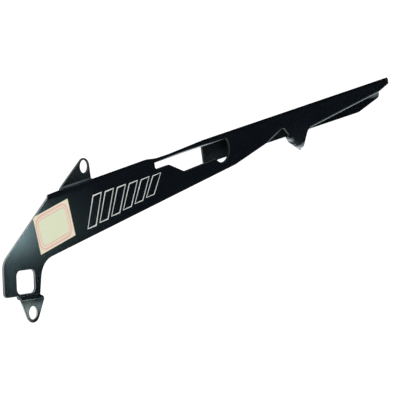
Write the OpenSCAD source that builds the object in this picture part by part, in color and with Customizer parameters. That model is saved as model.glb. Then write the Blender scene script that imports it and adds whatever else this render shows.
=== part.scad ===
// Motorcycle chain guard, folded from one sheet of black anodised aluminium.
// X runs along the top fold towards the nose, Y points inwards to the wheel and Z up.
// The origin is the centre of the top bolt hole, on the tab's inner mounting face.

/* [Sheet] */
// Thickness of the sheet
sheet = 1.5; // [1.2:0.1:2]
// Inside radius of the long folds
fold_r = 1; // [0.6:0.1:1.4]
// Radius on the small corners of the outline
corner_r = 2; // [1:0.5:3]

/* [Top channel] */
// Width of the channel over its two walls
channel_w = 11; // [10.2:0.2:14]
// Width of the plain flange where nothing folds down
flange_w = 8.8; // [7.6:0.1:9.4]
// Width of the flange over the narrow stretch of the middle window
flange_neck_w = 3.4; // [2.8:0.1:5]
// Width of the flange at the panel's upper corner
flange_start_w = 4.5; // [3.5:0.5:6]
// Depth of the inner wall below the top, at its start
wall_h = 16.7; // [14:0.1:18]
// Depth of the inner wall where its taper starts
wall_end_h = 18.4; // [16:0.1:19.5]
// Start of the inner wall, ahead of the top hole
wall_x = 129.5; // [125:0.5:134]
// Distance that the deep part of the inner wall stops short of the nose
wall_short = 0; // [0:0.5:4]
// Length of the taper at the nose end of the inner wall
wall_taper = 29.5; // [20:0.5:36]
// Reach of the nose ahead of the top hole
nose_x = 353; // [330:1:385]
// Height of the nose's blunt end
nose_h = 2.6; // [2.5:0.1:4]
// Distance that the nose's inner corner stands ahead of its outer corner
nose_skew = 15; // [11:0.5:17]
// Depth of the outer wall just ahead of the foot
nose_wall_h = 14.8; // [12:0.1:16]
// Length of the steeper last stretch of the outer wall
nose_cut = 15; // [10:1:25]
// Depth of the outer wall where that stretch starts
nose_cut_h = 6.5; // [5:0.5:8]

/* [Outer panel] */
// Distance from the top hole back to the panel's upper corner
back_x = 47.5; // [43:0.5:52]
// Reach of the heel behind the top hole
heel_x = 102.5; // [97:0.5:108]
// Length of the heel's end, from its lower corner up to the sloped back edge
heel_end_h = 22; // [19:0.5:26]
// Depth of the heel's lower corner below the top
heel_h = 52.5; // [48:0.5:58]
// Turn of the heel's edges, window and lower tab
heel_turn = 8.5; // [6:0.5:11]
// Width of the heel along its lower edge
heel_w = 34.5; // [33:0.5:38]
// Depth of the panel under the top hole
panel_h = 33.6; // [31:0.2:36]
// Slope of the panel's lower edge
panel_slope = 4.5; // [3.5:0.1:4.8]
// Radius where the heel meets the lower edge
heel_r = 18; // [10:1:22]
// End of the straight lower edge, ahead of the top hole
waist_x = 152; // [145:1:160]
// Start of the last rise before the foot
rise_x = 193; // [186:1:200]
// Depth of the panel there
rise_h = 14.5; // [12.5:0.5:16]
// Depth of the panel at the arch behind the foot
arch_h = 8; // [6.5:0.5:10]

/* [Heel window] */
// Width of the window
heel_window_w = 17.5; // [14:0.5:18.5]
// Height of the window
heel_window_h = 14.5; // [11:0.5:16]
// Metal between the window and the heel's end
heel_window_rim = 12.2; // [10.2:0.2:14]
// Metal between the window and the heel's lower edge
heel_window_up = 1.2; // [0.8:0.1:2]
// Corner radius of the window
heel_window_r = 3.5; // [2:0.5:5]

/* [Middle window] */
// Near end of the window, ahead of the top hole
slot_x = 63.5; // [58:0.5:70]
// Metal left above the window
slot_top = 2; // [1.5:0.1:2.3]
// Depth of the narrow near stretch below the top
slot_h = 6.3; // [6:0.1:8]
// Length of the narrow near stretch
slot_len = 15.5; // [10:0.5:18]
// Length of the slope down to the deep stretch
slot_slope = 15.5; // [10:0.5:18]
// Depth of the deep stretch below the top
slot_deep = 14; // [12:0.5:15]
// Centre of the round far end, ahead of the top hole
port_x = 138.5; // [135:0.5:143]
// Diameter of the round far end
port_d = 18; // [16:0.2:18.6]
// Depth of its centre below the top
port_drop = 8; // [7.8:0.1:9.4]

/* [Tabs] */
// Diameter of the two bolt holes
bolt_d = 8.4; // [6.4:0.2:9]
// Metal round the top bolt hole
top_rim = 1.2; // [1:0.1:2.5]
// Metal round the lower bolt hole
lower_rim = 2; // [1.4:0.1:2.6]
// Height of the top bolt hole above the top
hole_up = 9; // [8:0.5:12]
// Distance from the panel's outer face in to the top tab's mounting face
tab_in = 9; // [8:0.2:10]
// Length of the top tab's slope, back from the hole
tab_back = 27; // [20:1:32]
// Width of the lower tab at its fold
lower_tab_w = 21.9; // [19:0.1:24]
// Distance from the lower tab's fold to its bolt hole
lower_hole_down = 10.9; // [10.5:0.1:14]
// Distance from the heel's end to the lower bolt hole
lower_hole_in = 23.4; // [21:0.2:25]
// Outward step of the lower tab
step_out = 3; // [2.8:0.1:4]

/* [Foot] */
// Rear edge of the foot, ahead of the top hole
foot_x = 217.5; // [211:0.5:224]
// Depth of the foot's rear corner below the top
foot_drop = 16; // [15.4:0.2:17.6]
// Length of the foot's lower edge
foot_len = 20.4; // [18:0.2:22]
// Slope of that edge
foot_turn = 33; // [28:1:36]
// Slope of the foot's front edge
foot_front = 54; // [48:1:62]
// Width of the lip folded in along the lower edge
lip_w = 5.8; // [5.4:0.1:7.5]
// Distance that the lip's front corner stands ahead of the foot
lip_skew = 6; // [2:0.5:8]
// Diameter of the hole in the lip
lip_hole_d = 2; // [1.6:0.1:2.4]

/* [Label] */
// Width of the paper label
label_w = 36; // [30:1:38]
// Height of the paper label
label_h = 24.5; // [20:0.5:26]
// Thickness of the paper
label_t = 0.2; // [0.1:0.05:0.4]
// Distance from the top hole back to the label's centre
label_x = 46.6; // [44:0.2:48]
// Depth of the label's centre below the top
label_drop = 19.8; // [19.2:0.2:20.8]
// Turn of the label
label_turn = 7; // [0:1:10]

/* [Hidden] */

$fn = 64;
corner_steps = 8;
bend_r = fold_r + sheet;
past = 1;
deep = heel_h + heel_w;
nose_r = 3;
wall_rise = 11.5;
neck_r = 30;
foot_r = 8;
arch_r = 4;

function unit(v) = v / norm(v);

// Direction at an angle in the side view
function way(a) = [cos(a), sin(a)];

// Depth of the panel's straight lower edge at a place along the top
function lower_z(x) = -panel_h + x * tan(panel_slope);

// Points that round the corner b between a and c, kept inside its two edges
function corner(a, b, c, r) =
    let (
        u = unit(a - b),
        v = unit(c - b),
        half = acos(u * v) / 2,
        reach = min(r / tan(half), 0.48 * min(norm(a - b), norm(c - b))),
        arc_r = reach * tan(half),
        centre = b + unit(u + v) * arc_r / sin(half),
        start = b + u * reach - centre,
        first = atan2(start.y, start.x),
        turn = (u.x * v.y > u.y * v.x ? -1 : 1) * (180 - 2 * half)
    )
    [for (i = [0 : corner_steps]) centre + arc_r * way(first + turn * i / corner_steps)];

// An outline from corners given as [x, z, radius]
function rounded(p) =
    let (n = len(p), at = [for (q = p) [q.x, q.y]])
    [for (i = [0 : n - 1])
        each p[i][2] == 0 ? [at[i]] : corner(at[(i + n - 1) % n], at[i], at[(i + 1) % n], p[i][2])];

// Point where a line from p touches a circle, on its left (side 1) or right (side -1)
function touch(p, centre, r, side) =
    let (d = centre - p, a = atan2(d.y, d.x) + side * asin(r / norm(d)))
    p + way(a) * sqrt(d * d - r * r);

// The heel's own frame, from its lower corner: u along the lower edge, w up
heel_corner = [-heel_x, -heel_h];
function heel(u, w) = heel_corner + u * way(-heel_turn) + w * way(90 - heel_turn);

// The foot's own frame, from its rear lower corner: u along the lower edge, w up
foot_corner = [foot_x, -foot_drop];
function foot(u, w) = foot_corner + u * way(-foot_turn) + w * way(90 - foot_turn);

// Where the heel's inner edge, carried up, meets the lower edge
inner_base = heel(heel_w, 0);
inner_lean = 9;
inner_way = way(90 - heel_turn - inner_lean);
inner_run = (lower_z(inner_base.x) - inner_base.y) / (inner_way.y - inner_way.x * tan(panel_slope));
inner_top = inner_base + inner_run * inner_way;

// Where the foot's front edge meets the lower edge of the nose
foot_tip = foot(foot_len, bend_r);
foot_rise = (foot_tip.y * -1 - nose_wall_h) / tan(foot_front);

module side_plate(y0, y1) {
    translate([0, y1, 0]) rotate([90, 0, 0]) linear_extrude(y1 - y0) children();
}

module along_x(x0, x1) {
    translate([x0, 0, 0]) rotate([90, 0, 90]) linear_extrude(x1 - x0) children();
}

// Quarter of a fold in section, from its centre out towards dy and dz
module fold_quarter(r, dy, dz) {
    intersection() {
        difference() {
            circle(r + sheet);
            circle(r);
        }
        translate([dy < 0 ? -r - sheet : 0, dz < 0 ? -r - sheet : 0]) square(r + sheet);
    }
}

// Side outline of the outer panel, with its two windows left in
module panel_outline() {
    polygon(rounded([
        [-back_x, 0, corner_r],
        [heel(0, heel_end_h).x, heel(0, heel_end_h).y, 10],
        [heel_corner.x, heel_corner.y, 1.5 * corner_r],
        [inner_base.x, inner_base.y, 0],
        [inner_top.x, inner_top.y, heel_r],
        [waist_x, lower_z(waist_x), neck_r],
        [rise_x, -rise_h, neck_r],
        [foot_x - 4, -arch_h, arch_r],
        [foot(0, bend_r).x, foot(0, bend_r).y, 0],
        [foot_tip.x, foot_tip.y, 0],
        [foot_tip.x + foot_rise, -nose_wall_h, foot_r],
        [nose_x - nose_cut, -nose_cut_h, neck_r],
        [nose_x, -nose_h, corner_r],
        [nose_x, 0, 0]
    ]));
}

module heel_window() {
    u0 = heel_window_rim;
    u1 = heel_window_rim + heel_window_w;
    polygon(rounded([
        for (c = [[u0, 0], [u1, 0], [u1, heel_window_h], [u0, heel_window_h]])
            let (p = heel(c.x, c.y + heel_window_up)) [p.x, p.y, heel_window_r]
    ]));
}

module middle_window() {
    deep_x = slot_x + slot_len + slot_slope;
    floor_z = -slot_deep;
    polygon(rounded([
        [slot_x, -slot_top, 0],
        [slot_x, -slot_h, corner_r],
        [slot_x + slot_len, -slot_h, 2 * corner_r],
        [deep_x, floor_z, corner_r],
        [port_x - port_d / 2, floor_z + 1, corner_r],
        [port_x, floor_z, 0],
        [port_x, -slot_top, 0]
    ]));
    intersection() {
        translate([port_x, -port_drop]) circle(d = port_d);
        translate([port_x - port_d, -slot_top - port_d]) square([2 * port_d, port_d]);
    }
}

// Plan of the top web: narrow at the tab and over the middle window, and open to the folds
module web_plan() {
    tab_fold_y = tab_in - bend_r;
    tab_front = bolt_d / 2 + top_rim + past;
    neck_end = slot_x + slot_len + slot_slope - 11;
    polygon([
        [-back_x, 0],
        [-back_x + 3, flange_start_w],
        [-tab_back, tab_fold_y],
        [tab_front, tab_fold_y],
        [slot_x + 2, flange_w],
        [slot_x + 6, flange_neck_w],
        [neck_end, flange_neck_w],
        [wall_x, flange_w],
        [wall_x, channel_w - bend_r],
        [nose_x, channel_w - bend_r],
        [nose_x, 0]
    ]);
}

// Near wall, fold and flat flange in section
module near_section() {
    translate([0, -deep]) square([sheet, deep - bend_r]);
    translate([bend_r, -bend_r]) fold_quarter(fold_r, -1, 1);
    translate([bend_r, -sheet]) square([flange_w - bend_r, sheet]);
}

module panel_and_web() {
    difference() {
        intersection() {
            along_x(-heel_x - past, nose_x + past) near_section();
            union() {
                side_plate(0, sheet) panel_outline();
                translate([0, 0, -bend_r]) linear_extrude(bend_r) web_plan();
            }
        }
        side_plate(-past, sheet + past) heel_window();
        side_plate(-past, bend_r) middle_window();
    }
}

// The wall that folds down from the web, behind the outer panel
module inner_wall() {
    end_x = nose_x - wall_short;
    tip_x = nose_x + nose_skew;
    intersection() {
        along_x(wall_x, tip_x) {
            translate([channel_w - sheet, -wall_end_h]) square([sheet, wall_end_h - bend_r]);
            translate([channel_w - bend_r, -bend_r]) fold_quarter(fold_r, 1, 1);
            translate([bend_r, -sheet]) square([channel_w - 2 * bend_r, sheet]);
        }
        side_plate(0, channel_w) polygon(rounded([
            [wall_x, 0, 0],
            [wall_x, -wall_h, corner_r],
            [end_x - wall_taper, -wall_end_h, 4 * nose_r],
            [end_x, -wall_end_h + wall_taper * tan(wall_rise), 1.3 * nose_r],
            [end_x, -nose_cut_h, corner_r],
            [tip_x, -nose_h, 0],
            [tip_x, 0, 0]
        ]));
        translate([0, 0, -deep]) linear_extrude(deep) polygon([
            [wall_x, 0],
            [nose_x, 0],
            [tip_x, channel_w],
            [wall_x, channel_w]
        ]);
    }
}

// The tab that folds up from the web and carries the top bolt hole
module top_tab() {
    eye_r = bolt_d / 2 + top_rim;
    eye = [0, hole_up];
    base = [-tab_back, 0];
    difference() {
        intersection() {
            along_x(-tab_back - past, eye_r) {
                translate([tab_in - sheet, fold_r]) square([sheet, hole_up + eye_r]);
                translate([tab_in - bend_r, fold_r]) fold_quarter(fold_r, 1, -1);
                translate([bend_r, -sheet]) square([tab_in - 2 * bend_r, sheet]);
            }
            side_plate(0, tab_in) {
                polygon([
                    [-tab_back, -sheet],
                    base,
                    touch(base, eye, eye_r, 1),
                    eye,
                    [eye_r, hole_up],
                    [eye_r, -sheet]
                ]);
                translate(eye) circle(eye_r);
            }
        }
        translate([0, tab_in + past, hole_up]) rotate([90, 0, 0]) cylinder(h = sheet + 2 * past, d = bolt_d);
    }
}

// The tab stepped outwards from the heel's lower edge, with the lower bolt hole
module lower_tab() {
    step_r = (step_out - sheet) / 2;
    eye_r = bolt_d / 2 + lower_rim;
    eye = [lower_hole_in, -lower_hole_down];
    u0 = heel_w - lower_tab_w;
    top_left = [u0, -step_out];
    top_right = [heel_w, -step_out];
    translate([heel_corner.x, 0, heel_corner.y]) rotate([0, heel_turn, 0]) {
        along_x(u0, heel_w) {
            translate([-step_r, 0]) fold_quarter(step_r, 1, -1);
            translate([-step_r, -step_out]) fold_quarter(step_r, -1, 1);
            square([sheet, heel_window_up / 2]);
        }
        difference() {
            side_plate(-step_out, sheet - step_out) {
                polygon([
                    top_left,
                    touch(top_left, eye, eye_r, -1),
                    eye,
                    touch(top_right, eye, eye_r, 1),
                    top_right
                ]);
                translate(eye) circle(eye_r);
            }
            translate([eye.x, past, eye.y]) rotate([90, 0, 0]) cylinder(h = step_out + 2 * past, d = bolt_d);
        }
    }
}

// The lip folded in along the foot's lower edge, with its small hole
module foot_lip() {
    translate([foot_corner.x, 0, foot_corner.y]) rotate([0, foot_turn, 0]) {
        along_x(0, foot_len) {
            translate([bend_r, bend_r]) fold_quarter(fold_r, -1, -1);
            translate([0, bend_r]) square([sheet, past]);
        }
        difference() {
            linear_extrude(sheet) polygon(rounded([
                [0, bend_r, 0],
                [foot_len, bend_r, 0],
                [foot_len + lip_skew, lip_w, corner_r],
                [lip_w + lip_skew / 2, lip_w, corner_r]
            ]));
            translate([0.65 * foot_len, (lip_w + bend_r) / 2, -past]) cylinder(h = sheet + 2 * past, d = lip_hole_d);
        }
    }
}

module chain_guard() {
    color("#14171a") translate([0, -tab_in, -hole_up]) {
        panel_and_web();
        inner_wall();
        top_tab();
        lower_tab();
        foot_lip();
    }
}

module paper_label() {
    color("#efe3c8") translate([0, -tab_in, -hole_up]) side_plate(-label_t, 0) intersection() {
        translate([-label_x, -label_drop]) rotate(label_turn) square([label_w, label_h], center = true);
        panel_outline();
    }
}

chain_guard();
paper_label();
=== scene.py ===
import bpy
import bmesh
import math
from mathutils import Matrix, Vector
from mathutils.bvhtree import BVHTree


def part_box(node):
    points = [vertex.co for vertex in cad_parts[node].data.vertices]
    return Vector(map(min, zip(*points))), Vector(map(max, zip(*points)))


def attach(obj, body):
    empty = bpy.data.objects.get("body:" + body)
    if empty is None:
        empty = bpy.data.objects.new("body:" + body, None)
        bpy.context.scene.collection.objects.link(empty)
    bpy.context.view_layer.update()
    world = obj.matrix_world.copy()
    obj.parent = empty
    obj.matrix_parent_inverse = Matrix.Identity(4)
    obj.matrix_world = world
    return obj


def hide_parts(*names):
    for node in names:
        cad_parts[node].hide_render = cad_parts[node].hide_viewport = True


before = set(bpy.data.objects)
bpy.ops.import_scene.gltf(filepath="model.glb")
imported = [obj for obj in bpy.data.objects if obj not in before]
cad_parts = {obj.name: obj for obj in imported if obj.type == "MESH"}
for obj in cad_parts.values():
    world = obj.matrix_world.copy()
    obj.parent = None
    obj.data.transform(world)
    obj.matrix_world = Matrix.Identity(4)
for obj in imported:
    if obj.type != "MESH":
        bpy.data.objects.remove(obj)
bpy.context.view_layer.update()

scene = bpy.context.scene
scene.view_settings.view_transform = "Standard"
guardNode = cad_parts["chain_guard"]
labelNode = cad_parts["paper_label"]
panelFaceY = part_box("paper_label")[1].y   # the label's back lies on the panel's outer face
print("frame loaded, panel face at", round(panelFaceY, 5))


# small helpers for node trees
def addNode(tree, kind, **values):
    node = tree.nodes.new(kind)
    for key, value in values.items():
        setattr(node, key, value)
    return node


def link(tree, source, target):
    tree.links.new(source, target)


def mathNode(tree, operation, a, b=None, clamp=False):
    node = addNode(tree, "ShaderNodeMath", operation=operation, use_clamp=clamp)
    for socket, value in zip(node.inputs, (a, b)):
        if value is None:
            continue
        if isinstance(value, (int, float)):
            socket.default_value = value
        else:
            link(tree, value, socket)
    return node.outputs[0]


def rampUp(tree, value, start, width):   # 0 up to start, then up to 1 over the width
    return mathNode(tree, "DIVIDE", mathNode(tree, "SUBTRACT", value, start), width, clamp=True)


def rampDown(tree, value, end, width):   # 1 at first, then down to 0 over the width before end
    return mathNode(tree, "DIVIDE", mathNode(tree, "SUBTRACT", end, value), width, clamp=True)


def mixColour(tree, fac, a, b, blend="MIX"):
    node = addNode(tree, "ShaderNodeMix", data_type="RGBA", blend_type=blend)
    for name, value in (("Factor", fac), ("A", a), ("B", b)):
        socket = [s for s in node.inputs if s.name == name and s.enabled][0]
        if isinstance(value, (int, float)):
            socket.default_value = value
        elif isinstance(value, (tuple, list)):
            socket.default_value = (*value, 1.0)
        else:
            link(tree, value, socket)
    return [s for s in node.outputs if s.enabled][0]


def vectorNode(tree, operation, a, b=None):
    node = addNode(tree, "ShaderNodeVectorMath", operation=operation)
    for socket, value in zip(node.inputs, (a, b)):
        if value is None:
            continue
        if isinstance(value, tuple):
            socket.default_value = value
        else:
            link(tree, value, socket)
    return node.outputs


def splitPosition(tree, position):
    parts = addNode(tree, "ShaderNodeSeparateXYZ")
    link(tree, position, parts.inputs[0])
    return parts.outputs


def noiseNode(tree, position, scale, **settings):
    noise = addNode(tree, "ShaderNodeTexNoise")
    for key, value in settings.items():
        noise.inputs[key].default_value = value
    link(tree, position, noise.inputs["Vector"])
    if isinstance(scale, float):
        noise.inputs["Scale"].default_value = scale
    else:
        link(tree, scale, noise.inputs["Scale"])
    return noise.outputs[0]


def addBump(tree, shader, height, strength, depth):
    bump = addNode(tree, "ShaderNodeBump")
    bump.inputs["Strength"].default_value = strength
    bump.inputs["Distance"].default_value = depth
    link(tree, height, bump.inputs["Height"])
    link(tree, bump.outputs[0], shader.inputs["Normal"])


def newMaterial(name):
    material = bpy.data.materials.new(name)
    material.use_nodes = True
    tree = material.node_tree
    tree.nodes.clear()
    out = addNode(tree, "ShaderNodeOutputMaterial")
    shader = addNode(tree, "ShaderNodeBsdfPrincipled")
    link(tree, shader.outputs[0], out.inputs["Surface"])
    coords = addNode(tree, "ShaderNodeTexCoord")
    return material, tree, shader, coords.outputs["Object"]


def newGroup(name, inputs, outputs):
    tree = bpy.data.node_groups.new(name, "ShaderNodeTree")
    for label, kind, value in inputs:
        socket = tree.interface.new_socket(label, in_out="INPUT", socket_type=kind)
        if value is not None:
            socket.default_value = value
    for label, kind in outputs:
        tree.interface.new_socket(label, in_out="OUTPUT", socket_type=kind)
    return tree, addNode(tree, "NodeGroupInput").outputs, addNode(tree, "NodeGroupOutput").inputs


def useGroup(tree, group, **values):
    node = addNode(tree, "ShaderNodeGroup", node_tree=group)
    for key, value in values.items():
        socket = node.inputs[key.replace("_", " ")]
        if isinstance(value, (int, float, tuple)):
            socket.default_value = value
        else:
            link(tree, value, socket)
    return node.outputs


# effects that the materials share: fine dust, hairline scratches, and soft spots and strips that carry the painted
# highlights and reflections and the lip's worn gloss
effects = {
    "speckFrom": 0.62,   # noise above this is a speck
    "speckGain": 7.0,
    "hazeScale": 0.05,   # against the scale of the specks
    "stripSideFade": 0.0004,
    "stripEndFade": 0.008,
    "stripDepth": 0.0006,   # a strip lies on the face that it starts on, no deeper in than this
    "stripDepthFade": 0.0003,
}


def makeDustGroup():
    tree, given, result = newGroup(
        "fineDust",
        [("Position", "NodeSocketVector", None), ("Speck Size", "NodeSocketFloat", 0.0015),
         ("Amount", "NodeSocketFloat", 0.5)],
        [("Specks", "NodeSocketFloat"), ("Haze", "NodeSocketFloat")],
    )
    scale = mathNode(tree, "DIVIDE", 1.0, given["Speck Size"])
    specks = noiseNode(tree, given["Position"], scale, Detail=4.0, Roughness=0.7)
    coarse = mathNode(tree, "MULTIPLY", scale, effects["hazeScale"])
    haze = noiseNode(tree, given["Position"], coarse, Detail=3.0)
    high = mathNode(tree, "SUBTRACT", specks, effects["speckFrom"])
    high = mathNode(tree, "MULTIPLY", high, effects["speckGain"], clamp=True)
    link(tree, mathNode(tree, "MULTIPLY", high, given["Amount"]), result["Specks"])
    link(tree, mathNode(tree, "MULTIPLY", haze, given["Amount"]), result["Haze"])
    return tree


def makeHairlineGroup():
    tree, given, result = newGroup(
        "hairlines",
        [("Position", "NodeSocketVector", None), ("Length", "NodeSocketFloat", 0.02),
         ("Width", "NodeSocketFloat", 0.0002)],
        [("Lines", "NodeSocketFloat")],
    )
    parts = splitPosition(tree, given["Position"])
    joined = addNode(tree, "ShaderNodeCombineXYZ")
    for i, size in enumerate((given["Length"], given["Width"], given["Width"])):
        link(tree, mathNode(tree, "DIVIDE", parts[i], size), joined.inputs[i])
    link(tree, noiseNode(tree, joined.outputs[0], 1.0, Detail=2.0), result["Lines"])
    return tree


def makeSpotGroup():
    tree, given, result = newGroup(
        "softSpot",
        [("Position", "NodeSocketVector", None), ("Centre", "NodeSocketVector", None),
         ("Reach", "NodeSocketVector", None), ("Softness", "NodeSocketFloat", 0.5)],
        [("Mask", "NodeSocketFloat")],
    )
    away = vectorNode(tree, "SUBTRACT", given["Position"], given["Centre"])[0]
    scaled = vectorNode(tree, "DIVIDE", away, given["Reach"])[0]
    far = vectorNode(tree, "LENGTH", scaled)["Value"]
    link(tree, rampDown(tree, far, 1.0, given["Softness"]), result["Mask"])
    return tree


def makeStripGroup():
    tree, given, result = newGroup(
        "highlightStrip",
        [("Position", "NodeSocketVector", None), ("Start", "NodeSocketVector", None),
         ("Slope", "NodeSocketFloat", 0.0), ("Length", "NodeSocketFloat", 0.05),
         ("Half Width", "NodeSocketFloat", 0.0006)],
        [("Mask", "NodeSocketFloat")],
    )
    away = vectorNode(tree, "SUBTRACT", given["Position"], given["Start"])[0]
    along, inward, up = splitPosition(tree, away)
    middle = mathNode(tree, "MULTIPLY", along, given["Slope"])
    off = mathNode(tree, "ABSOLUTE", mathNode(tree, "SUBTRACT", up, middle))
    mask = rampDown(tree, off, given["Half Width"], effects["stripSideFade"])
    ends = mathNode(tree, "MINIMUM", along, mathNode(tree, "SUBTRACT", given["Length"], along))
    ends = mathNode(tree, "DIVIDE", ends, effects["stripEndFade"], clamp=True)
    mask = mathNode(tree, "MULTIPLY", mask, ends)
    outer = rampDown(tree, inward, effects["stripDepth"], effects["stripDepthFade"])
    link(tree, mathNode(tree, "MULTIPLY", mask, outer), result["Mask"])
    return tree


dustGroup = makeDustGroup()
hairlineGroup = makeHairlineGroup()
spotGroup = makeSpotGroup()
stripGroup = makeStripGroup()


def spotMask(tree, position, centre, reach, softness):
    return useGroup(tree, spotGroup, Position=position, Centre=centre, Reach=reach, Softness=softness)["Mask"]


# the guard's gloss black
guardFinish = {
    "colour": (0.0036, 0.0052, 0.0085),
    "hazeColour": (0.0095, 0.0125, 0.0155),
    "dustColour": (0.07, 0.075, 0.075),
    "speckSize": 0.0011,
    "dustAmount": 0.4,
    "speckStrength": 0.12,
    "hairLength": 0.03,
    "hairWidth": 0.00025,
    "paleLeast": 0.75,   # how much of a painted pale spot shows where there is no haze
    "paleHaze": 0.9,
    "roughness": 0.17,
    "roughSpread": 0.07,
    "roughHaze": 0.1,
    "roughDull": 0.65,
    "bumpStrength": 0.05,
    "bumpDepth": 0.0001,
    "ior": 1.6,
    "tint": (0.82, 1.0, 1.0, 1.0),
}


# places where the black is painted paler: centre, reach, softness, colour. On the lower tab, the heel, low on the
# panel, at the lip's ends, along the top tab's fold, over the middle window and on the inner wall at the nose they are
# painted reflections and highlights. On the top tab, the foot and the inner wall at the port the black is only made a
# little paler
paleSpotsAndPaintedReflections = [
    ((-0.0880, -0.0120, -0.0738), (0.014, 0.002, 0.0085), 0.9, (0.27, 0.33, 0.32)),   # lower tab
    ((-0.0755, -0.0120, -0.0735), (0.010, 0.002, 0.0050), 0.9, (0.14, 0.19, 0.20)),
    ((-0.0940, -0.0090, -0.0530), (0.013, 0.0010, 0.0300), 0.9, (0.024, 0.037, 0.044)),   # heel
    ((-0.0105, -0.0014, -0.0086), (0.024, 0.0020, 0.0008), 0.5, (0.13, 0.15, 0.17)),   # fold of the top tab
    ((0.0050, -0.0015, -0.0010), (0.036, 0.0010, 0.0150), 0.8, (0.0185, 0.0260, 0.0290)),   # top tab
    ((-0.0300, -0.0090, -0.0340), (0.055, 0.0010, 0.0240), 1.0, (0.0120, 0.0175, 0.0180)),   # low on the panel
    ((0.2352, -0.0060, -0.0345), (0.0055, 0.0050, 0.0040), 0.8, (0.62, 0.68, 0.72)),   # both ends of the lip
    ((0.2225, -0.0060, -0.0275), (0.0036, 0.0050, 0.0026), 0.8, (0.32, 0.37, 0.43)),
    ((0.2340, -0.0090, -0.0250), (0.024, 0.0010, 0.0100), 0.9, (0.0080, 0.0105, 0.0135)),   # foot
    ((0.1000, -0.0090, -0.0111), (0.036, 0.0016, 0.0012), 0.6, (0.80, 0.86, 0.88)),   # over the middle window
    ((0.1380, 0.0005, -0.0180), (0.030, 0.0010, 0.0200), 0.6, (0.0130, 0.0170, 0.0200)),   # inner wall at the port
    ((0.3500, 0.0005, -0.0165), (0.018, 0.0010, 0.0050), 0.8, (0.34, 0.41, 0.42)),   # inner wall at the nose
]


# the middle of the foot's lip has lost its gloss: centre, reach, softness
dullLip = ((0.2290, -0.0050, -0.0315), (0.0080, 0.0080, 0.0065), 0.6)


# painted highlights: pale lines on the outer face, just above the lower edges of the nose and of the arch before the
# foot, where those edges catch the light:
# start, slope, length, half of the width, colour
paintedEdgeHighlightStrips = [
    ((0.2440, -0.009, -0.0234), 0.088, 0.100, 0.0009, (0.085, 0.115, 0.120)),
    ((0.1900, -0.009, -0.0240), 0.315, 0.021, 0.0009, (0.105, 0.115, 0.130)),
]


def makeAnodised():
    finish = guardFinish
    material, tree, shader, position = newMaterial("blackAnodised")
    dust = useGroup(tree, dustGroup, Position=position, Speck_Size=finish["speckSize"], Amount=finish["dustAmount"])
    lines = useGroup(tree, hairlineGroup, Position=position, Length=finish["hairLength"],
                     Width=finish["hairWidth"])["Lines"]
    base = mixColour(tree, dust["Haze"], finish["colour"], finish["hazeColour"])
    specks = mathNode(tree, "MULTIPLY", dust["Specks"], finish["speckStrength"])
    base = mixColour(tree, specks, base, finish["dustColour"])
    uneven = mathNode(tree, "MULTIPLY", dust["Haze"], finish["paleHaze"])
    uneven = mathNode(tree, "ADD", uneven, finish["paleLeast"], clamp=True)
    # painted reflections and highlights: the pale spots are mixed into the black's colour
    for centre, reach, softness, colour in paleSpotsAndPaintedReflections:
        pale = spotMask(tree, position, centre, reach, softness)
        base = mixColour(tree, mathNode(tree, "MULTIPLY", pale, uneven), base, colour)
    # painted highlights along the lower edges, mixed into the colour as pale strips
    for start, slope, length, halfWidth, colour in paintedEdgeHighlightStrips:
        pale = useGroup(tree, stripGroup, Position=position, Start=start, Slope=slope, Length=length,
                        Half_Width=halfWidth)["Mask"]
        base = mixColour(tree, pale, base, colour)
    link(tree, base, shader.inputs["Base Color"])
    dull = spotMask(tree, position, *dullLip)
    rough = mathNode(tree, "MULTIPLY", lines, finish["roughSpread"])
    rough = mathNode(tree, "ADD", rough, mathNode(tree, "MULTIPLY", dust["Haze"], finish["roughHaze"]))
    rough = mathNode(tree, "ADD", rough, finish["roughness"])
    rough = mathNode(tree, "ADD", rough, mathNode(tree, "MULTIPLY", dull, finish["roughDull"]))
    link(tree, rough, shader.inputs["Roughness"])
    addBump(tree, shader, lines, finish["bumpStrength"], finish["bumpDepth"])
    shader.inputs["IOR"].default_value = finish["ior"]
    shader.inputs["Specular Tint"].default_value = finish["tint"]
    return material


# the broken edges, nearly black but for the stretches listed below, which are painted highlights
edgeFinish = {
    "dark": (0.012, 0.015, 0.018),
    "light": (0.05, 0.056, 0.06),
    "speckSize": 0.004,
    "wornFrom": 0.36,   # haze above this is worn
    "wornGain": 5.0,
    "paleLeast": 0.65,
    "paleWorn": 0.35,
    "metallic": 0.3,
    "roughness": 0.36,
}


# stretches of the broken edges painted pale as highlights, where the edges catch the light: centre, reach, softness,
# colour
paintedEdgeHighlights = [
    ((-0.070, -0.009, -0.030), (0.078, 0.004, 0.062), 0.4, (0.30, 0.34, 0.35)),   # heel and panel
    ((0.322, -0.009, -0.020), (0.100, 0.001, 0.0130), 0.25, (0.80, 0.90, 0.92)),   # nose
    ((0.192, -0.009, -0.024), (0.026, 0.001, 0.0120), 0.6, (0.60, 0.62, 0.66)),   # arch before the foot
    ((0.103, -0.009, -0.0112), (0.040, 0.002, 0.0016), 0.5, (0.85, 0.92, 0.94)),   # over the middle window
    ((0.234, -0.005, -0.034), (0.016, 0.006, 0.0080), 0.5, (0.62, 0.66, 0.68)),   # lip
]


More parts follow.
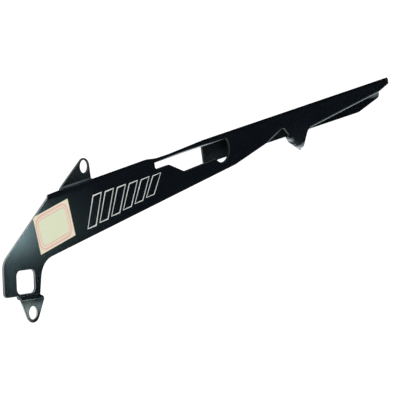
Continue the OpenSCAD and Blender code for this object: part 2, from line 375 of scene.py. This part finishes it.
def makeWornAndHighlightedEdge():
    finish = edgeFinish
    material, tree, shader, position = newMaterial("anodisedEdge")
    haze = useGroup(tree, dustGroup, Position=position, Speck_Size=finish["speckSize"], Amount=1.0)["Haze"]
    worn = mathNode(tree, "SUBTRACT", haze, finish["wornFrom"])
    worn = mathNode(tree, "MULTIPLY", worn, finish["wornGain"], clamp=True)
    base = mixColour(tree, worn, finish["dark"], finish["light"])
    share = mathNode(tree, "ADD", mathNode(tree, "MULTIPLY", worn, finish["paleWorn"]), finish["paleLeast"])
    pale = 0.0
    # painted highlights along the broken edges, mixed into their colour
    for centre, reach, softness, colour in paintedEdgeHighlights:
        mask = mathNode(tree, "MULTIPLY", spotMask(tree, position, centre, reach, softness), share)
        base = mixColour(tree, mask, base, colour)
        pale = mathNode(tree, "MAXIMUM", mask, pale)
    link(tree, base, shader.inputs["Base Color"])
    link(tree, mathNode(tree, "MULTIPLY", pale, finish["metallic"]), shader.inputs["Metallic"])
    shader.inputs["Roughness"].default_value = finish["roughness"]
    return material


# the faces left by cutting the sheet: bare metal at the rear, black elsewhere
cutFinish = {
    "black": (0.010, 0.013, 0.015),
    "bareDark": (0.30, 0.34, 0.33),
    "bareLight": (0.62, 0.68, 0.66),
    "grain": (0.0004, 0.0003),
    "rearEnd": (0.004, 0.012),   # x where the bare metal ends, and the width of its fade
    "heel": (-0.064, 0.03),   # z from which the heel's edge is bare
    "lowerTab": (-0.066, 0.003),   # z below which the lower tab's edge is bare
    "topTab": (-0.010, 0.004),   # z from which it is less bare
    "topTabLoss": 0.6,
    "metallic": 0.5,
    "roughness": 0.48,
}


def makeCutFace():
    finish = cutFinish
    material, tree, shader, position = newMaterial("cutFace")
    length, width = finish["grain"]
    lines = useGroup(tree, hairlineGroup, Position=position, Length=length, Width=width)["Lines"]
    bare = mixColour(tree, lines, finish["bareDark"], finish["bareLight"])
    x, _, z = splitPosition(tree, position)
    rear = rampDown(tree, x, *finish["rearEnd"])
    high = rampUp(tree, z, *finish["heel"])
    tab = rampDown(tree, z, *finish["lowerTab"])
    rear = mathNode(tree, "MULTIPLY", rear, mathNode(tree, "MAXIMUM", high, tab))
    loss = mathNode(tree, "MULTIPLY", rampUp(tree, z, *finish["topTab"]), finish["topTabLoss"])
    rear = mathNode(tree, "MULTIPLY", rear, mathNode(tree, "SUBTRACT", 1.0, loss))
    link(tree, mixColour(tree, rear, finish["black"], bare), shader.inputs["Base Color"])
    link(tree, mathNode(tree, "MULTIPLY", rear, finish["metallic"]), shader.inputs["Metallic"])
    shader.inputs["Roughness"].default_value = finish["roughness"]
    return material


# the folded guard's shape: a merged copy of the CAD sheet with its cut edges broken
guardShape = {
    "merge": 2e-6,
    "shortEdge": 3e-5,   # faces thinner than this are closed up
    "joinRounds": 3,
    "samePlane": 0.999999,
    "edgeBreak": 0.00035,
    "edgeSegments": 2,
    "edgeAngle": math.radians(40),
    "needleAngle": math.radians(12),
    "standOut": 5e-6,
    "foldLow": -0.0115,    # between these heights the faces belong to the web and its folds
    "foldHigh": -0.0080,
    "panelInside": -0.0073,   # the foot's lip lies inside of this, and is no cut face
    "footStart": 0.212,
    "footEnd": 0.246,
    "cutTilt": 0.02,   # a cut face is this upright or more
    "alongY": 0.9995,   # the normal of a flat face lies this much along y,
    "acrossY": 0.005,   # or this little
    "smoothWithin": 0.64,   # cosine of the widest turn that is smoothed over
}
mainSlot, edgeSlot, cutSlot = range(3)


def isCut(face):
    x, y, z = face.center
    if y > guardShape["panelInside"] and guardShape["footStart"] < x < guardShape["footEnd"]:
        return False
    upright = abs(face.normal.y) < guardShape["cutTilt"]
    return upright and (z < guardShape["foldLow"] or z > guardShape["foldHigh"])


def softNormals(mesh):
    # flat faces keep their own direction; broken edges and folds turn smoothly between them
    def isFlat(face):
        lean = abs(face.normal.y)
        return face.material_index != edgeSlot and (lean > guardShape["alongY"] or lean < guardShape["acrossY"])

    flat = [isFlat(face) for face in mesh.polygons]
    around = [[] for _ in mesh.vertices]
    for face in mesh.polygons:
        for index in face.vertices:
            around[index].append(face)
    normals = []
    for face in mesh.polygons:
        for index in face.vertices:
            if flat[face.index]:
                normals.append(face.normal)
                continue
            near = [f for f in around[index] if f.normal.dot(face.normal) > guardShape["smoothWithin"]]
            held = [f for f in near if flat[f.index]]
            if held:
                normals.append(max(held, key=lambda f: f.normal.dot(face.normal)).normal)
            else:
                normals.append(sum((f.normal * f.area for f in near), Vector()).normalized())
    mesh.normals_split_custom_set([tuple(n) for n in normals])


def joinFlat(shape):
    # triangles in one plane become one face, so that the bevel has no long slivers to turn over
    for edge in list(shape.edges):
        if not edge.is_valid or len(edge.link_faces) != 2:
            continue
        one, other = edge.link_faces
        if one.normal.dot(other.normal) < guardShape["samePlane"]:
            continue
        shared = sum(1 for side in one.edges if other in side.link_faces)
        if len(set(one.verts) & set(other.verts)) == shared + 1:
            bmesh.utils.face_join((one, other))


def chooseEdges(shape):
    # every sharp edge is broken, apart from those of a needle-thin face, where a bevel runs away
    weight = shape.edges.layers.float.new("bevel_weight_edge")
    for edge in shape.edges:
        sharp = len(edge.link_faces) == 2 and edge.calc_face_angle(0) > guardShape["edgeAngle"]
        edge[weight] = 1.0 if sharp else 0.0
    for face in list(shape.faces):
        if any(loop.calc_angle() < guardShape["needleAngle"] and loop.edge[weight] and loop.link_loop_prev.edge[weight]
               for loop in face.loops):
            for edge in face.edges:
                edge[weight] = 0.0


def breakEdges(guard):
    bevel = guard.modifiers.new("brokenEdge", "BEVEL")
    bevel.limit_method = "WEIGHT"
    bevel.width = guardShape["edgeBreak"]
    bevel.segments = guardShape["edgeSegments"]
    bevel.material = edgeSlot
    bevel.use_clamp_overlap = False
    bevel.miter_outer = "MITER_SHARP"
    bevel.loop_slide = False   # sliding lets one corner of the foot run out across the arch
    done = bpy.data.meshes.new_from_object(guard.evaluated_get(bpy.context.evaluated_depsgraph_get()))
    guard.modifiers.clear()
    guard.data = done
    done.name = "guardSheet"
    return done


def keepOnSheet(mesh, surface):
    moved = 0
    for vertex in mesh.vertices:   # a broken edge may not stand out of the sheet
        near, normal, _, _ = surface.find_nearest(vertex.co)
        if (vertex.co - near).dot(normal) > guardShape["standOut"]:
            vertex.co = near
            moved += 1
    mesh.update()
    for face in mesh.polygons:   # a sliver that the bevel turned over is closed up
        own = [mesh.vertices[index] for index in face.vertices]
        if face.material_index == edgeSlot or len(own) != 3:
            continue
        if face.normal.dot(surface.find_nearest(face.center)[1]) > 0:
            continue
        stray = max(own, key=lambda v: surface.find_nearest(v.co)[3])
        stray.co = min((v.co.copy() for v in own if v is not stray), key=lambda co: (co - stray.co).length)
        moved += 1
    mesh.update()
    return moved


def makeGuard():
    shape = bmesh.new()
    shape.from_mesh(guardNode.data)
    bmesh.ops.remove_doubles(shape, verts=shape.verts, dist=guardShape["merge"])
    bmesh.ops.dissolve_degenerate(shape, dist=guardShape["shortEdge"], edges=shape.edges)
    surface = BVHTree.FromBMesh(shape)
    for turn in range(guardShape["joinRounds"]):
        joinFlat(shape)
    chooseEdges(shape)
    mesh = bpy.data.meshes.new("guardSheet")
    shape.to_mesh(mesh)
    shape.free()
    guard = bpy.data.objects.new("guardSheet", mesh)
    scene.collection.objects.link(guard)
    for material in (makeAnodised(), makeWornAndHighlightedEdge(), makeCutFace()):   # in the order of the three slots
        mesh.materials.append(material)
    mesh.polygons.foreach_set("material_index", [cutSlot if isCut(face) else mainSlot for face in mesh.polygons])
    mesh.polygons.foreach_set("use_smooth", [True] * len(mesh.polygons))
    done = breakEdges(guard)
    moved = keepOnSheet(done, surface)
    softNormals(done)
    print("guard sheet has", len(done.polygons), "faces,", moved, "corners put back on it")
    return guard


guard = makeGuard()
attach(guard, "root")
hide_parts("chain_guard")


# the paper label, with a plain double border
labelPrint = {
    "turn": math.radians(7),
    "offCentre": -0.0005,    # the print sits a little to one side, as on a cut label
    "halfWidth": 0.0170,
    "halfHeight": 0.0113,
    "corner": 0.0062,
    "outerLine": 0.0014,
    "innerGap": 0.0008,
    "innerLine": 0.0009,
    "lineFade": 0.00015,
    "insideFrom": -0.002,   # how far in from the border's edge the greener paper starts
    "insideFade": 0.0006,
    "paper": (0.92, 0.84, 0.64),
    "inside": (0.83, 0.87, 0.63),
    "ink": (0.90, 0.46, 0.43),
    "inkLeast": 0.35,
    "inkBlotch": 0.7,
    "fibreScale": 900.0,
    "blotchScale": 90.0,
    "grainLeast": 0.95,
    "grain": 0.08,
    "roughness": 0.75,
    "bumpStrength": 0.25,
    "bumpDepth": 0.0001,
}


def makeFrameGroup():
    tree, given, result = newGroup(
        "roundedFrame",
        [("Position", "NodeSocketVector", None), ("Half Width", "NodeSocketFloat", 0.01),
         ("Half Height", "NodeSocketFloat", 0.01), ("Corner", "NodeSocketFloat", 0.002)],
        [("Distance", "NodeSocketFloat")],
    )
    x, _, z = splitPosition(tree, given["Position"])
    across = mathNode(tree, "SUBTRACT", mathNode(tree, "ABSOLUTE", x), given["Half Width"])
    across = mathNode(tree, "ADD", across, given["Corner"])
    up = mathNode(tree, "SUBTRACT", mathNode(tree, "ABSOLUTE", z), given["Half Height"])
    up = mathNode(tree, "ADD", up, given["Corner"])
    outA = mathNode(tree, "MAXIMUM", across, 0.0)
    outB = mathNode(tree, "MAXIMUM", up, 0.0)
    far = mathNode(tree, "SQRT", mathNode(tree, "ADD", mathNode(tree, "MULTIPLY", outA, outA),
                                          mathNode(tree, "MULTIPLY", outB, outB)))
    near = mathNode(tree, "MINIMUM", mathNode(tree, "MAXIMUM", across, up), 0.0)
    link(tree, mathNode(tree, "SUBTRACT", mathNode(tree, "ADD", far, near), given["Corner"]), result["Distance"])
    return tree


def band(tree, distance, start, end):
    soft = labelPrint["lineFade"]
    return mathNode(tree, "MULTIPLY", rampUp(tree, distance, start, soft), rampDown(tree, distance, end, soft))


def makePaper():
    finish = labelPrint
    material, tree, shader, position = newMaterial("labelPaper")
    low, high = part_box("paper_label")
    centred = addNode(tree, "ShaderNodeMapping", vector_type="TEXTURE")
    centred.inputs["Location"].default_value = (low + high) / 2 + Vector((finish["offCentre"], 0, 0))
    centred.inputs["Rotation"].default_value = (0.0, -finish["turn"], 0.0)
    link(tree, position, centred.inputs["Vector"])
    shape = useGroup(tree, makeFrameGroup(), Position=centred.outputs[0], Half_Width=finish["halfWidth"],
                     Half_Height=finish["halfHeight"], Corner=finish["corner"])["Distance"]
    fibres = noiseNode(tree, position, finish["fibreScale"], Detail=5.0)
    blotch = noiseNode(tree, position, finish["blotchScale"])
    inside = rampDown(tree, shape, finish["insideFrom"], finish["insideFade"])
    colour = mixColour(tree, inside, finish["paper"], finish["inside"])
    outer = band(tree, shape, -finish["outerLine"], 0.0)
    start = -finish["outerLine"] - finish["innerGap"]
    inner = band(tree, shape, start - finish["innerLine"], start)
    uneven = mathNode(tree, "ADD", mathNode(tree, "MULTIPLY", blotch, finish["inkBlotch"]), finish["inkLeast"])
    ink = mathNode(tree, "MULTIPLY", mathNode(tree, "MAXIMUM", outer, inner), uneven, clamp=True)
    colour = mixColour(tree, ink, colour, finish["ink"])
    grain = mathNode(tree, "ADD", mathNode(tree, "MULTIPLY", fibres, finish["grain"]), finish["grainLeast"])
    colour = mixColour(tree, 1.0, colour, grain, blend="MULTIPLY")
    link(tree, colour, shader.inputs["Base Color"])
    shader.inputs["Roughness"].default_value = finish["roughness"]
    addBump(tree, shader, fibres, finish["bumpStrength"], finish["bumpDepth"])
    return material


labelNode.data.materials.clear()
labelNode.data.materials.append(makePaper())
print("label ready")


# engraved bars: bare metal strokes on the panel, made by Geometry Nodes
engraving = {
    "count": 6,
    "pitch": 0.0128,
    "barWidth": 0.0088,
    "barHeight": 0.0190,
    "slant": 0.0105,
    "stroke": 0.0011,
    "proud": 0.00006,
    "shrink": 0.075,   # each bar is this much lower than the one before
    "lift": 0.3,   # of the strokes' thickness, from the panel's face out to their middle
    "start": (-0.0048, -0.0278),
    "slope": math.radians(2.6),
    "dark": (0.70, 0.72, 0.69),
    "light": (0.97, 0.98, 0.94),
    "hairLength": 0.004,
    "hairWidth": 0.00012,
    "metallic": 0.1,
    "roughness": 0.38,
    "roughSpread": 0.2,
}


def makeSilver():
    finish = engraving
    material, tree, shader, position = newMaterial("bareSilver")
    lines = useGroup(tree, hairlineGroup, Position=position, Length=finish["hairLength"],
                     Width=finish["hairWidth"])["Lines"]
    link(tree, mixColour(tree, lines, finish["dark"], finish["light"]), shader.inputs["Base Color"])
    shader.inputs["Metallic"].default_value = finish["metallic"]
    rough = mathNode(tree, "ADD", mathNode(tree, "MULTIPLY", lines, finish["roughSpread"]), finish["roughness"])
    link(tree, rough, shader.inputs["Roughness"])
    return material


def makeBarTree(material):
    tree = bpy.data.node_groups.new("slantedBars", "GeometryNodeTree")
    settings = {}
    for label, kind, value in (
        ("Count", "NodeSocketInt", engraving["count"]), ("Pitch", "NodeSocketFloat", engraving["pitch"]),
        ("Bar Width", "NodeSocketFloat", engraving["barWidth"]),
        ("Bar Height", "NodeSocketFloat", engraving["barHeight"]),
        ("Slant", "NodeSocketFloat", engraving["slant"]), ("Stroke", "NodeSocketFloat", engraving["stroke"]),
        ("Proud", "NodeSocketFloat", engraving["proud"]), ("Shrink", "NodeSocketFloat", engraving["shrink"]),
    ):
        socket = tree.interface.new_socket(label, in_out="INPUT", socket_type=kind)
        settings[socket.identifier] = value
    tree.interface.new_socket("Geometry", in_out="OUTPUT", socket_type="NodeSocketGeometry")
    given = addNode(tree, "NodeGroupInput").outputs
    result = addNode(tree, "NodeGroupOutput").inputs
    bar = addNode(tree, "GeometryNodeCurvePrimitiveQuadrilateral", mode="PARALLELOGRAM")
    link(tree, given["Bar Width"], bar.inputs["Width"])
    link(tree, given["Bar Height"], bar.inputs["Height"])
    link(tree, given["Slant"], bar.inputs["Offset"])
    upright = addNode(tree, "GeometryNodeSetCurveNormal", mode="Z_UP")
    link(tree, bar.outputs[0], upright.inputs["Curve"])
    profile = addNode(tree, "GeometryNodeCurvePrimitiveQuadrilateral", mode="RECTANGLE")
    link(tree, given["Stroke"], profile.inputs["Width"])
    link(tree, given["Proud"], profile.inputs["Height"])
    swept = addNode(tree, "GeometryNodeCurveToMesh")
    link(tree, upright.outputs[0], swept.inputs["Curve"])
    link(tree, profile.outputs[0], swept.inputs["Profile Curve"])
    row = addNode(tree, "GeometryNodeMeshLine")
    link(tree, given["Count"], row.inputs["Count"])
    step = addNode(tree, "ShaderNodeCombineXYZ")
    link(tree, given["Pitch"], step.inputs[0])
    link(tree, step.outputs[0], row.inputs["Offset"])
    index = addNode(tree, "GeometryNodeInputIndex")
    size = mathNode(tree, "SUBTRACT", 1.0, mathNode(tree, "MULTIPLY", index.outputs[0], given["Shrink"]))
    scale = addNode(tree, "ShaderNodeCombineXYZ")
    scale.inputs[0].default_value = 1.0
    link(tree, size, scale.inputs[1])
    scale.inputs[2].default_value = 1.0
    placed = addNode(tree, "GeometryNodeInstanceOnPoints")
    link(tree, row.outputs[0], placed.inputs["Points"])
    link(tree, swept.outputs[0], placed.inputs["Instance"])
    link(tree, scale.outputs[0], placed.inputs["Scale"])
    real = addNode(tree, "GeometryNodeRealizeInstances")
    link(tree, placed.outputs[0], real.inputs[0])
    painted = addNode(tree, "GeometryNodeSetMaterial")
    painted.inputs["Material"].default_value = material
    link(tree, real.outputs[0], painted.inputs["Geometry"])
    link(tree, painted.outputs[0], result["Geometry"])
    return tree, settings


def makeBars():
    tree, settings = makeBarTree(makeSilver())
    bars = bpy.data.objects.new("engravedBars", bpy.data.meshes.new("engravedBars"))
    scene.collection.objects.link(bars)
    modifier = bars.modifiers.new("bars", "NODES")
    modifier.node_group = tree
    for identifier, value in settings.items():
        modifier[identifier] = value
    done = bpy.data.meshes.new_from_object(bars.evaluated_get(bpy.context.evaluated_depsgraph_get()))
    bars.modifiers.clear()
    x, z = engraving["start"]
    place = Matrix.Translation((x, panelFaceY - engraving["proud"] * engraving["lift"], z))
    stand = Matrix.Rotation(math.radians(90), 4, "X")
    done.transform(place @ Matrix.Rotation(-engraving["slope"], 4, "Y") @ stand)
    bars.data = done
    done.name = "engravedBars"
    low = [min(v.co[i] for v in done.vertices) for i in range(3)]
    high = [max(v.co[i] for v in done.vertices) for i in range(3)]
    print("bars", [round(v, 5) for v in low], [round(v, 5) for v in high])
    return bars


bars = makeBars()
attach(bars, "root")


# studio: pale floor, world, one soft lamp and the dark cards that black gloss mirrors
studio = {
    "ambient": 0.62,
    "floorZ": -0.42,
    "floorHalf": 14.0,
    "floorColour": (0.9, 0.9, 0.9, 1),
    "floorGlow": 0.55,   # only seen, lights nothing
    "cardColour": (0.004, 0.005, 0.006, 1),
    "lampPower": 9.0,
    "lampSize": (0.9, 0.9),
    "lampSpot": (-0.5, -0.9, 1.1),
    "lampTarget": (0.1, 0, 0),
}


def seenFlag(tree):
    path = addNode(tree, "ShaderNodeLightPath").outputs
    seen = mathNode(tree, "MAXIMUM", path["Is Camera Ray"], path["Is Glossy Ray"])
    return mathNode(tree, "MAXIMUM", seen, path["Is Transmission Ray"])


def whiteBackground(tree, strength):
    background = addNode(tree, "ShaderNodeBackground")
    background.inputs["Color"].default_value = (1, 1, 1, 1)
    background.inputs["Strength"].default_value = strength
    return background.outputs[0]


def makeWorld():
    world = bpy.data.worlds.new("studio")
    scene.world = world
    world.use_nodes = True
    tree = world.node_tree
    tree.nodes.clear()
    out = addNode(tree, "ShaderNodeOutputWorld")
    mix = addNode(tree, "ShaderNodeMixShader")
    link(tree, seenFlag(tree), mix.inputs[0])
    link(tree, whiteBackground(tree, studio["ambient"]), mix.inputs[1])
    link(tree, whiteBackground(tree, 1.0), mix.inputs[2])
    link(tree, mix.outputs[0], out.inputs[0])


def makeFlat(name, corners):
    mesh = bpy.data.meshes.new(name)
    mesh.from_pydata(corners, [], [(0, 1, 2, 3)])
    flat = bpy.data.objects.new(name, mesh)
    scene.collection.objects.link(flat)
    return flat


def makeFloor():
    half, z = studio["floorHalf"], studio["floorZ"]
    floor = makeFlat("floor", [(-half, -half, z), (half, -half, z), (half, half, z), (-half, half, z)])
    material = bpy.data.materials.new("floorPaper")
    material.use_nodes = True
    tree = material.node_tree
    tree.nodes.clear()
    out = addNode(tree, "ShaderNodeOutputMaterial")
    paper = addNode(tree, "ShaderNodeBsdfDiffuse")
    paper.inputs["Color"].default_value = studio["floorColour"]
    glow = addNode(tree, "ShaderNodeEmission")
    link(tree, mathNode(tree, "MULTIPLY", seenFlag(tree), studio["floorGlow"]), glow.inputs["Strength"])
    both = addNode(tree, "ShaderNodeAddShader")
    link(tree, paper.outputs[0], both.inputs[0])
    link(tree, glow.outputs[0], both.inputs[1])
    link(tree, both.outputs[0], out.inputs["Surface"])
    floor.data.materials.append(material)


def makeCard(name, corners, glow=None):
    card = makeFlat(name, corners)
    material, tree, shader, position = newMaterial(name)
    shader.inputs["Base Color"].default_value = studio["cardColour"]
    shader.inputs["Roughness"].default_value = 1.0
    shader.inputs["Specular IOR Level"].default_value = 0.0
    if glow:
        away = vectorNode(tree, "SUBTRACT", position, glow["spot"])[0]
        squeezed = vectorNode(tree, "DIVIDE", away, glow["reach"])[0]
        far = vectorNode(tree, "LENGTH", squeezed)["Value"]
        near = mathNode(tree, "SUBTRACT", 1.0, far, clamp=True)
        link(tree, mathNode(tree, "MULTIPLY", near, glow["power"]), shader.inputs["Emission Strength"])
        shader.inputs["Emission Color"].default_value = glow["colour"]
    card.data.materials.append(material)
    card.visible_camera = False
    card.visible_diffuse = False
    card.visible_shadow = False


def makeLamp():
    data = bpy.data.lights.new("softbox", "AREA")
    data.shape = "RECTANGLE"
    data.size, data.size_y = studio["lampSize"]
    data.energy = studio["lampPower"]
    lamp = bpy.data.objects.new("softbox", data)
    scene.collection.objects.link(lamp)
    spot = Vector(studio["lampSpot"])
    aim = (Vector(studio["lampTarget"]) - spot).to_track_quat("-Z", "Y")
    lamp.matrix_world = Matrix.Translation(spot) @ aim.to_matrix().to_4x4()
    lamp.visible_glossy = False


camera = {
    "spot": (-1.41432, -1.16140, 0.28769),
    "right": (0.58105817, -0.80385686, -0.12722245),
    "up": (0.21388294, 0.0, 0.9768593),
    "back": (-0.78525505, -0.59482279, 0.17193127),
    "sensor": 36.0,
    "lens": 260.57,
    "clip": (0.05, 100),
}


def makeCamera():
    data = bpy.data.cameras.new("camera")
    data.sensor_width = camera["sensor"]
    data.lens = camera["lens"]
    data.clip_start, data.clip_end = camera["clip"]
    obj = bpy.data.objects.new("camera", data)
    scene.collection.objects.link(obj)
    turn = Matrix((camera["right"], camera["up"], camera["back"])).transposed().to_4x4()
    obj.matrix_world = Matrix.Translation(camera["spot"]) @ turn
    scene.camera = obj


# the glow that the heel's gloss mirrors
heelGlow = {
    "spot": (0.047, -0.13, -0.051),
    "reach": (0.021, 1.0, 0.022),
    "power": 23.5,
    "colour": (0.72, 0.95, 1.0, 1.0),
}

makeWorld()
makeFloor()
makeCard("frontCard", [(-0.3, -0.13, -0.40), (1.1, -0.13, -0.40), (1.1, -0.13, 0.30), (-0.3, -0.13, 0.30)], heelGlow)
makeCard("topCard", [(0.05, -0.7, 0.30), (1.8, -0.7, 0.30), (1.8, 0.8, 0.30), (0.05, 0.8, 0.30)])
makeCard("rearCard", [(0.28, 0.9, -0.14), (1.4, 0.1, -0.14), (1.4, 0.1, 0.46), (0.28, 0.9, 0.46)])
makeLamp()
makeCamera()
print("studio ready")
